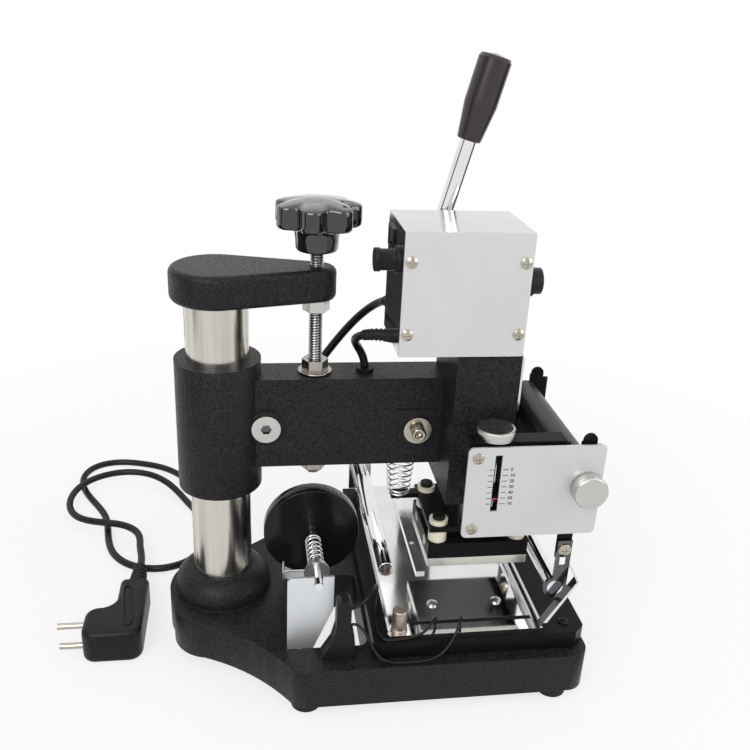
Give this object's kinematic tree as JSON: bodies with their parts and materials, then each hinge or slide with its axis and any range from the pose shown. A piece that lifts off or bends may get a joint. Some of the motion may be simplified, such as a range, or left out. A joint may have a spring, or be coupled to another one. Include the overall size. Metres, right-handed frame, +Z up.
{
  "type": "hot foil stamping machine",
  "caption": "Bench press for hot foil stamping: a lever drives a heated ram on an arm that slides on a column, over a chromed card tray with foil reel and foil feed.",
  "frame": {"origin": "on the floor under the middle of the base", "axes": "+Z up, +X from the column to the foil feed, -Y to the person who works it"},
  "size_m": [0.4267, 0.3868, 0.4482],
  "materials": {
    "black_paint": "satin",
    "chrome": "polished",
    "steel": "satin",
    "silver_sheet": "satin",
    "black_plastic": "matte",
    "gloss_black": "gloss",
    "grip_plastic": "gloss",
    "rubber": "matte",
    "grey_rubber": "satin",
    "ceramic": "satin",
    "brass": "satin",
    "die_metal": "satin",
    "pointer_red": "satin",
    "cord": "satin"
  },
  "bodies": {
    "frame": {"base_casting": "black_paint", "rubber_feet": "rubber", "column": "chrome", "top_cap": "black_paint", "bed_plate": "black_paint", "frame_fasteners": "steel", "work_tray": "chrome", "stop_post": "brass", "card_fence": "chrome", "left_guide_rod": "chrome", "rod_bracket": "black_paint", "reel_brackets": "silver_sheet", "connector_block": "black_plastic", "lead_a": "cord", "lead_b": "cord", "power_cord": "cord", "cord_coil": "cord", "plug_lead": "cord", "plug": "black_plastic", "plug_pins": "steel"},
    "arm": {"arm_casting": "black_paint", "head_casting": "black_paint", "head_side_plate": "silver_sheet", "box_body": "silver_sheet", "box_front_panel": "silver_sheet", "arm_fasteners": "steel", "fuse_holder": "black_plastic", "switch_body": "black_plastic", "thermostat": "steel", "cable_glands": "black_plastic", "heater_cable": "cord", "feed_plates": "black_paint", "scale_plate": "silver_sheet", "return_spring": "chrome"},
    "adjuster": {"adjuster_rod": "steel", "star_knob": "gloss_black", "arm_nuts": "steel"},
    "ram": {"ram": "steel", "ram_plate": "black_paint", "ceramic_bushes": "ceramic", "bush_screws": "black_plastic", "heater_block": "black_paint", "cartridge_heaters": "steel", "die_plate": "die_metal"},
    "lever": {"pinion_shaft": "steel", "lever_rod": "chrome", "lever_grip": "grip_plastic"},
    "switch": {"switch_rocker": "black_plastic"},
    "dial": {"temperature_knob": "black_plastic"},
    "feed": {"feed_roller": "grey_rubber", "feed_knob": "steel"},
    "pinch": {"pinch_roller": "grey_rubber"},
    "feed_setting": {"feed_screw": "steel"},
    "pointer": {"feed_pointer": "pointer_red"},
    "foil_guide": {"rod_hangers": "chrome", "right_guide_rod": "chrome"},
    "reel": {"reel_shaft": "chrome", "reel_disc": "gloss_black", "reel_spring": "chrome", "reel_collar": "steel"}
  },
  "joints": [
    {"name": "arm_height", "type": "slide", "parent": "frame", "child": "arm", "axis": [0, 0, 1], "range_m": [-0.007, 0.025]},
    {"name": "height_knob", "type": "hinge", "parent": "arm", "child": "adjuster", "pos_m": [-0.0435, -0.0055, 0.3], "axis": [0, 0, 1], "range_deg": [-1261, 4501]},
    {"name": "ram_slide", "type": "slide", "parent": "arm", "child": "ram", "axis": [0, 0, -1], "range_m": [0, 0.02], "stiffness_N_per_m": 500, "springref_m": -0.04, "deforming": ["return_spring"]},
    {"name": "lever_swing", "type": "hinge", "parent": "arm", "child": "lever", "pos_m": [0.0415, 0.0225, 0.3], "axis": [0, 1, 0], "range_deg": [0, 47.8]},
    {"name": "power_switch", "type": "hinge", "parent": "arm", "child": "switch", "pos_m": [0.0115, -0.0085, 0.327], "axis": [0, 0, 1], "range_deg": [-16, 0]},
    {"name": "temperature_dial", "type": "hinge", "parent": "arm", "child": "dial", "pos_m": [0.0995, -0.0475, 0.307], "axis": [1, 0, 0], "range_deg": [0, 270]},
    {"name": "feed_spin", "type": "hinge", "parent": "arm", "child": "feed", "pos_m": [0.142, -0.0255, 0.17], "axis": [0, 1, 0], "continuous": true},
    {"name": "pinch_spin", "type": "hinge", "parent": "arm", "child": "pinch", "pos_m": [0.1315, -0.0255, 0.18967], "axis": [0, 1, 0], "continuous": true},
    {"name": "feed_length_screw", "type": "hinge", "parent": "arm", "child": "feed_setting", "pos_m": [0.076, -0.0774, 0.2], "axis": [0, 0, 1], "range_deg": [-8281, 1441]},
    {"name": "pointer_slide", "type": "slide", "parent": "arm", "child": "pointer", "axis": [0, 0, 1], "range_m": [-0.004, 0.023]},
    {"name": "guide_height", "type": "slide", "parent": "arm", "child": "foil_guide", "axis": [0, 0, 1], "range_m": [0, 0.012]},
    {"name": "reel_spin", "type": "hinge", "parent": "frame", "child": "reel", "pos_m": [-0.0445, -0.0455, 0.0955], "axis": [0, 1, 0], "continuous": true}
  ],
  "couplings": [
    {"joint": "height_knob", "follows": "arm_height", "rad_per_m": 3141.6},
    {"joint": "lever_swing", "follows": "ram_slide", "rad_per_m": 41.667},
    {"joint": "pinch_spin", "follows": "feed_spin", "ratio": -1.3158},
    {"joint": "feed_length_screw", "follows": "pointer_slide", "rad_per_m": -6283.2}
  ]
}
